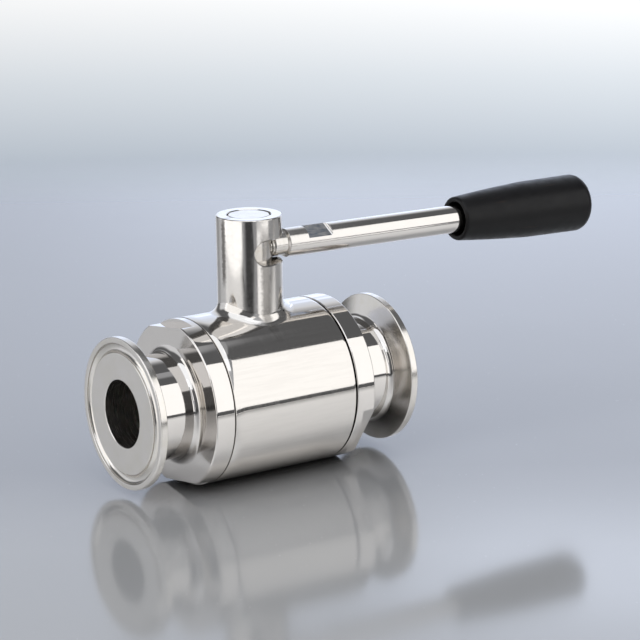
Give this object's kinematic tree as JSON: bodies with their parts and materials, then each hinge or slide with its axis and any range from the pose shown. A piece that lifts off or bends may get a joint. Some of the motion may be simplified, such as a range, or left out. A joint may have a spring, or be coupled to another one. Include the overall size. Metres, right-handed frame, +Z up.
{
  "type": "sanitary clamp-end ball valve with lever",
  "caption": "Quarter-turn sanitary ball valve with clamp ferrule ends, a slotted stem neck and a straight polished lever with a black grip.",
  "frame": {"origin": "centre of the ball, where the flow axis crosses the stem axis", "axes": "+X along the flow axis from inlet to outlet, +Z up the stem axis, +Y to the back, away from the lever slot"},
  "size_m": [0.1899, 0.0554, 0.0876],
  "materials": {
    "polished_stainless": "mirror-polished 316L stainless steel",
    "polished_lever": "polished stainless bar with brushed wrench flats",
    "ball_stainless": "ground and polished ball, full-bore",
    "ptfe": "white skived PTFE",
    "fkm_rubber": "black moulded fluoroelastomer",
    "brass_insert": "turned and knurled brass",
    "black_phenolic": "black moulded phenolic, satin polish"
  },
  "bodies": {
    "valve": {"valve_body": "polished_stainless", "inlet_end_cap": "polished_stainless", "outlet_end_cap": "polished_stainless", "inlet_seat": "ptfe", "outlet_seat": "ptfe", "inlet_seat_o_ring": "fkm_rubber", "outlet_seat_o_ring": "fkm_rubber", "inlet_body_gasket": "ptfe", "outlet_body_gasket": "ptfe", "stem_thrust_washer": "ptfe"},
    "stem_and_lever": {"stem": "polished_stainless", "stem_o_ring_lower": "fkm_rubber", "stem_o_ring_upper": "fkm_rubber", "stem_guide_band_lower": "ptfe", "stem_guide_band_upper": "ptfe", "lever_rod": "polished_lever", "grip_insert": "brass_insert", "lever_grip": "black_phenolic"},
    "ball": {"ball": "ball_stainless"}
  },
  "joints": [
    {"name": "lever_turn", "type": "hinge", "parent": "valve", "child": "stem_and_lever", "pos_m": [0, 0, 0.04845], "axis": [0, 0, 1], "range_deg": [-90, 0]},
    {"name": "ball_turn", "type": "hinge", "parent": "valve", "child": "ball", "pos_m": [0, 0, 0], "axis": [0, 0, 1], "range_deg": [-90, 0]}
  ],
  "couplings": [
    {"joint": "ball_turn", "follows": "lever_turn", "ratio": 1}
  ]
}
